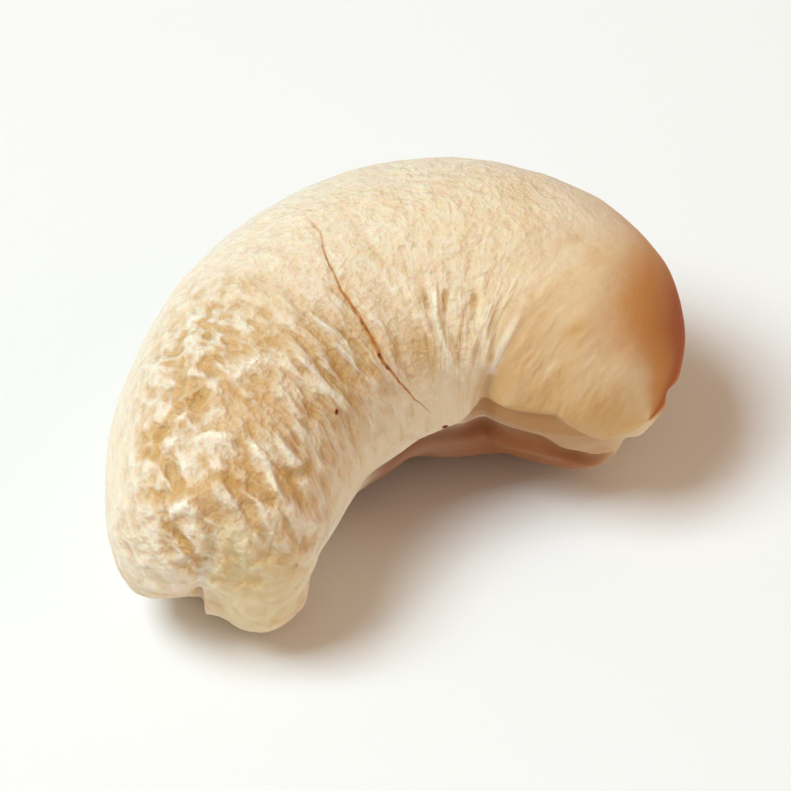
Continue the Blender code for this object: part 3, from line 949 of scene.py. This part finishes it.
def skin_tree():
    """Fine lumps, slanting ridges and pebbles, cut into the skin where each kind grows."""
    tree = bpy.data.node_groups.new("kernel_fine_skin", "GeometryNodeTree")
    tree.interface.new_socket(name="Geometry", in_out="OUTPUT", socket_type="NodeSocketGeometry")
    tree.interface.new_socket(name="Geometry", in_out="INPUT", socket_type="NodeSocketGeometry")
    tree.interface.new_socket(name="Flesh", in_out="INPUT", socket_type="NodeSocketMaterial")
    for name, value in SKIN_SIZES.items():
        socket = tree.interface.new_socket(name=name, in_out="INPUT", socket_type="NodeSocketFloat")
        socket.default_value = value
    wiring = Wiring(tree)
    given = wiring.node("NodeGroupInput").outputs
    height = mesh_height(wiring, given)
    shift = wiring.scaled(wiring.node("GeometryNodeInputNormal").outputs[0], wiring.times(height, MM))
    skin = wiring.step(
        "GeometryNodeStoreNamedAttribute", given["Geometry"], {"Name": "fine", "Value": height},
        data_type="FLOAT", domain="POINT",
    )
    skin = wiring.step("GeometryNodeSetPosition", skin, {"Offset": shift})
    skin = wiring.step("GeometryNodeSetPosition", skin, {"Position": on_or_over_table(wiring)})
    skin = wiring.step("GeometryNodeRealizeInstances", skin, {})
    skin = wiring.step("GeometryNodeSetMaterial", skin, {"Material": given["Flesh"]})
    wiring.feed(wiring.node("NodeGroupOutput").inputs["Geometry"], skin)
    return tree


def grow_fine_skin(kernel, material):
    """Runs the nodes once, and keeps what they make as a plain mesh."""
    tree = skin_tree()
    modifier = kernel.modifiers.new("fine_skin", "NODES")
    modifier.node_group = tree
    sockets = {item.name: item.identifier for item in tree.interface.items_tree if item.in_out == "INPUT"}
    modifier[sockets["Flesh"]] = material
    for name, value in SKIN_SIZES.items():
        modifier[sockets[name]] = value
    graph = bpy.context.evaluated_depsgraph_get()
    fine = bpy.data.meshes.new_from_object(
        kernel.evaluated_get(graph), preserve_all_data_layers=True, depsgraph=graph
    )
    kernel.modifiers.clear()
    kernel.data = fine
    fine.name = "kernel_skin"


def drifting_places(paint):
    """The place and the place for ridges, both moved about a little so that nothing is straight."""
    wander = paint.node("ShaderNodeTexNoise")
    paint.feed(wander.inputs["Vector"], paint.place)
    wander.inputs["Scale"].default_value = FINE_WANDER_PITCH
    wander.inputs["Detail"].default_value = 1.0
    centred = paint.vector_maths("SUBTRACT", wander.outputs["Color"], (0.5, 0.5, 0.5))
    drift = paint.scaled(centred, FINE_WANDER)
    ridge_place = paint.node("ShaderNodeAttribute", attribute_name="ridge_place").outputs["Vector"]
    return paint.vector_maths("ADD", paint.place, drift), paint.vector_maths("ADD", ridge_place, drift)


def fine_patterns(paint):
    """Noise for the lumps, the ridges and the pebbles' grain, and streaks where they show."""
    drifted, ridge_place = drifting_places(paint)
    crests = paint.uneven(ridge_place, FINE_CREST_PITCH, detail=1.5, roughness=0.5, seed=17.0)
    rounded = paint.uneven(drifted, FINE_LUMP_PITCH, detail=2.0, roughness=0.5, seed=13.0)
    rounded = paint.times(paint.grow(rounded, FINE_LUMP_SPAN), 1.0 - FINE_CREST_SHARE)
    crests = paint.times(paint.grow(crests, FINE_CREST_SPAN), FINE_CREST_SHARE)
    lumps = paint.add(rounded, crests)
    ridges = paint.uneven(ridge_place, FINE_RIDGE_PITCH, detail=2.0, roughness=0.5, seed=15.0)
    ridges = paint.grow(ridges, FINE_RIDGE_SPAN)
    grain = paint.uneven(paint.place, FINE_PEBBLE_PITCH, detail=2.0, roughness=0.6, seed=16.0)
    grain = paint.add(paint.times(grain, FINE_PEBBLE_SWING), 0.5)
    streaks = paint.uneven(paint.across, FINE_STREAK_PITCH, detail=2.0, roughness=0.55, seed=23.0)
    streaks = paint.times(paint.grow(streaks, FINE_STREAK_SPAN), paint.bump(paint.turn, STREAKED_TURN))
    streaks = paint.times(streaks, paint.grow(paint.value_of("along"), STREAKED_ALONG))
    return lumps, ridges, grain, streaks


def fine_relief(paint):
    """What is too fine for the mesh: its height in millimetres, and how low and how high it is."""
    lumps, ridges, grain, streaks = fine_patterns(paint)
    lumpy, slanting = paint.value_of("lumpy"), paint.value_of("slanting")
    pebbled = paint.add(paint.value_of("pebbled"), FINE_PEBBLED_ALL_OVER)
    height = paint.times(lumps, lumpy, FINE_LUMP_HEIGHT)
    height = paint.add(height, paint.times(ridges, slanting, FINE_RIDGE_HEIGHT))
    height = paint.add(height, paint.times(grain, pebbled, FINE_PEBBLE_HEIGHT))
    height = paint.add(height, paint.times(streaks, FINE_STREAK_HEIGHT))
    low = paint.times(paint.maths("SUBTRACT", 1.0, lumps), lumpy)
    low = paint.add(low, paint.times(paint.maths("SUBTRACT", 1.0, ridges), slanting, RIDGE_LOW_SHARE))
    low = paint.add(low, paint.times(paint.maths("SUBTRACT", 1.0, grain), pebbled, PEBBLE_LOW_SHARE))
    high = paint.add(paint.times(lumps, lumpy), paint.times(ridges, slanting))
    return height, low, high


def lay_tints(paint, tints):
    """Lays tints over the colour one after another, each where all its places are."""
    for colour, strength, places in tints:
        share = strength
        for kind, name, extent in places:
            shape = paint.bump if kind == "near" else paint.grow
            share = paint.times(shape(paint.value_of(name), extent), share)
        paint.tint(share, colour)


def ground_colour(paint, mottle):
    """Cream to ivory flesh with golden clouds, and streaks that run across the flank."""
    paint.colour = paint.blend(paint.grow(mottle, MOTTLE_SPAN), CREAM, IVORY)
    clouds = paint.uneven(paint.place, CLOUD_PITCH, detail=5.0, roughness=0.68, seed=2.0)
    paint.tint(paint.times(paint.grow(clouds, CLOUD_SPAN), CLOUD_STRENGTH), GOLDEN)
    # The crown's ivory tint is partly painted highlight where it faces the key light
    lay_tints(paint, CROWN_AND_END_TINTS)
    streaks = paint.uneven(paint.across, STREAK_PITCH, detail=3.0, roughness=0.6, seed=21.0)
    on_flank = paint.times(paint.grow(paint.turn, STREAK_TURN), STREAK_STRENGTH)
    paint.tint(paint.times(paint.grow(streaks, (0.0, STREAK_RISE)), on_flank), PALE_RIDGE)
    paint.tint(paint.times(paint.grow(streaks, (0.0, -STREAK_RISE)), on_flank), GOLDEN)
    lay_tints(paint, FLANK_TINTS)


def wrinkle_colour_and_painted_light(paint, low, high):
    """Golden in the valleys, and pale on the ridges: partly the flesh's own tones, partly painted shade in
    the valleys and painted highlight on the ridges.
    """
    relief_here = paint.add(paint.value_of("fine"), paint.value_of("fold"))
    sunk = paint.times(paint.grow(relief_here, VALLEY_SPAN), VALLEY_STRENGTH)
    sunk = paint.add(sunk, paint.times(low, LOW_STRENGTH), paint.times(low, low, LOWEST_STRENGTH))
    paint.tint(paint.maths("MINIMUM", sunk, MOST_GOLDEN), GOLDEN)
    raised = paint.add(paint.grow(relief_here, CREST_SPAN), paint.times(high, high))
    paint.tint(paint.times(paint.maths("MINIMUM", raised, 1.0), CREST_STRENGTH), PALE_RIDGE)


def rim_toast_and_painted_shade(paint, mottle):
    """The blunt end's rim, amber first and dark brown towards the edge, fading out round the back: partly
    toasting, partly painted shade and painted warm reflected light.
    """
    along = paint.value_of("along")
    edge = paint.add(paint.times(paint.grow(along, RIM_RISE_ALONG), RIM_RISE), RIM_TURN)
    edge = paint.add(edge, paint.times(paint.grow(along, RIM_DROP_ALONG), -RIM_DROP))
    inside = paint.maths("SUBTRACT", edge, paint.add(paint.turn, paint.times(mottle, RIM_SWAY)))
    over_back = paint.add(paint.turn, paint.times(mottle, RIM_BACK_SWAY))
    on_end = paint.grow(along, RIM_ALONG)
    for colour, strength, softness, back_fade in RIM_STAGES:
        share = paint.times(paint.grow(inside, softness), on_end, paint.grow(over_back, back_fade))
        paint.tint(paint.times(share, strength), colour)


def crack_and_specks(paint, speck_places):
    """The brown crack with its darker spots, and the bits of inner skin."""
    grain = paint.uneven(paint.place, CRACK_GRAIN_PITCH, detail=2.0, roughness=0.5, seed=4.0)
    off = paint.add(paint.value_of("crack_off"), paint.times(grain, CRACK_WAVER))
    gape = paint.times(paint.bump(paint.turn, CRACK_GAPE_TURN), CRACK_GAPE)
    gape = paint.add(gape, CRACK_HALF_WIDTH)
    crack = paint.grow(paint.maths("DIVIDE", paint.maths("ABSOLUTE", off), gape), CRACK_EDGE)
    crack = paint.times(crack, paint.value_of("crack_show"), paint.grow(grain, CRACK_BREAK_SPAN))
    paint.tint(crack, paint.blend(paint.grow(grain, CRACK_DARK_SPAN), CRACK_BROWN, CRACK_DARK))
    for speck_place, radius in speck_places:
        gap = paint.vector_maths("LENGTH", paint.vector_maths("SUBTRACT", paint.place, speck_place))
        gap = paint.add(gap, paint.times(grain, radius * SPECK_RAGGEDNESS))
        outer, inner = SPECK_EDGE
        paint.tint(paint.grow(gap, (radius * outer, radius * inner)), SPECK_BROWN)


def flesh_material(speck_places):
    """Cream flesh, golden in its valleys and pale on its ridges (partly painted shade and highlight), with
    painted shade in the hollow, a rim that is partly painted shade, and the crack and the specks.
    """
    material = bpy.data.materials.new("kernel_flesh")
    material.use_nodes = True
    paint = Paint(material.node_tree)
    shader = material.node_tree.nodes["Principled BSDF"]
    height, low, high = fine_relief(paint)
    mottle = paint.uneven(paint.place, MOTTLE_PITCH, detail=4.0, roughness=0.6, seed=1.0)
    ground_colour(paint, mottle)
    wrinkle_colour_and_painted_light(paint, low, high)
    lay_tints(paint, FOLD_AND_HOLLOW_TINTS)
    rim_toast_and_painted_shade(paint, mottle)
    lay_tints(paint, TIP_TINTS)
    crack_and_specks(paint, speck_places)
    paint.feed(shader.inputs["Base Color"], paint.colour)
    shader.inputs["Roughness"].default_value = FLESH_ROUGHNESS
    shader.inputs["Specular IOR Level"].default_value = FLESH_SPECULAR
    shader.inputs["Subsurface Weight"].default_value = 1.0
    shader.inputs["Subsurface Radius"].default_value = LIGHT_REACH_BY_COLOUR
    shader.inputs["Subsurface Scale"].default_value = LIGHT_REACH * MM
    bump = paint.node("ShaderNodeBump")
    bump.inputs["Distance"].default_value = MM
    bump.inputs["Strength"].default_value = 1.0
    paint.feed(bump.inputs["Height"], height)
    paint.feed(shader.inputs["Normal"], bump.outputs["Normal"])
    return material


def make_kernel():
    """The kernel as one fine piece, which stands for the solid from model.glb."""
    mesh, kernel_places = kernel_skin(CELLS, RINGS)
    corners = np.zeros(len(mesh.vertices) * 3)
    mesh.vertices.foreach_get("co", corners)
    corners = corners.reshape(-1, 3) / MM
    speck_places = []
    for (along, turn), radius in SPECKS:
        place = corners[nearest_corner(kernel_places, along, turn)]
        speck_places.append((tuple(float(value) for value in place), radius))
    material = flesh_material(speck_places)
    mesh.materials.append(material)
    kernel = bpy.data.objects.new("kernel_skin", mesh)
    bpy.context.scene.collection.objects.link(kernel)
    grow_fine_skin(kernel, material)
    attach(kernel, "root")
    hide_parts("kernel")


def make_table():
    """A plain white table top."""
    half = TABLE_SIDE / 2
    mesh = bpy.data.meshes.new("table_top")
    corners = [(-half, -half, 0), (half, -half, 0), (half, half, 0), (-half, half, 0)]
    mesh.from_pydata(corners, [], [(0, 1, 2, 3)])
    material = bpy.data.materials.new("table_white")
    material.use_nodes = True
    shader = material.node_tree.nodes["Principled BSDF"]
    shader.inputs["Base Color"].default_value = (TABLE_WHITE, TABLE_WHITE, TABLE_WHITE, 1.0)
    shader.inputs["Roughness"].default_value = TABLE_ROUGHNESS
    shader.inputs["Specular IOR Level"].default_value = TABLE_SPECULAR
    mesh.materials.append(material)
    table = bpy.data.objects.new("table_top", mesh)
    bpy.context.scene.collection.objects.link(table)


def looking():
    """The way the camera looks, and the level way to its right."""
    turn = math.radians(CAMERA_AZIMUTH)
    dip = math.radians(CAMERA_ELEVATION)
    look = Vector((math.sin(turn) * math.cos(dip), math.cos(turn) * math.cos(dip), -math.sin(dip)))
    return look, Vector((math.cos(turn), -math.sin(turn), 0.0))


def make_camera():
    """A long lens that looks down on the hollow side."""
    look, _ = looking()
    data = bpy.data.cameras.new("camera")
    data.lens = CAMERA_LENS
    data.clip_start = CAMERA_SEES_FROM
    data.clip_end = CAMERA_SEES_TO
    camera = bpy.data.objects.new("camera", data)
    camera.location = Vector(LOOK_AT) - look * CAMERA_AWAY
    camera.rotation_mode = "QUATERNION"
    camera.rotation_quaternion = Quaternion(look, math.radians(CAMERA_ROLL)) @ look.to_track_quat("-Z", "Y")
    bpy.context.scene.collection.objects.link(camera)
    bpy.context.scene.camera = camera


def area_light(name, towards, side, power, colour):
    """A square light that stands some way off in a direction and faces the kernel."""
    data = bpy.data.lights.new(name, "AREA")
    data.shape = "SQUARE"
    data.size = side
    data.energy = power
    data.color = colour
    light = bpy.data.objects.new(name, data)
    light.location = towards.normalized() * LIGHT_AWAY
    light.rotation_euler = (-towards).to_track_quat("-Z", "Y").to_euler()
    bpy.context.scene.collection.objects.link(light)


def make_light():
    """A large soft key from high on the left, a weak warm fill from the right, and a warm sky."""
    look, right = looking()
    front = -Vector((look.x, look.y, 0.0)).normalized()
    key = front * KEY_FROM_FRONT - right * KEY_FROM_LEFT + Vector((0.0, 0.0, KEY_UP))
    area_light("key", key, KEY_SIDE, KEY_POWER, KEY_COLOUR)
    fill = front * FILL_FROM_FRONT + right * FILL_FROM_RIGHT + Vector((0.0, 0.0, FILL_UP))
    area_light("fill", fill, FILL_SIDE, FILL_POWER, FILL_COLOUR)
    world = bpy.data.worlds.new("sky")
    world.use_nodes = True
    sky = world.node_tree.nodes["Background"]
    sky.inputs["Color"].default_value = (*SKY_COLOUR, 1.0)
    sky.inputs["Strength"].default_value = SKY_STRENGTH
    bpy.context.scene.world = world


make_kernel()
make_table()
make_camera()
make_light()
bpy.context.scene.view_settings.view_transform = "Standard"
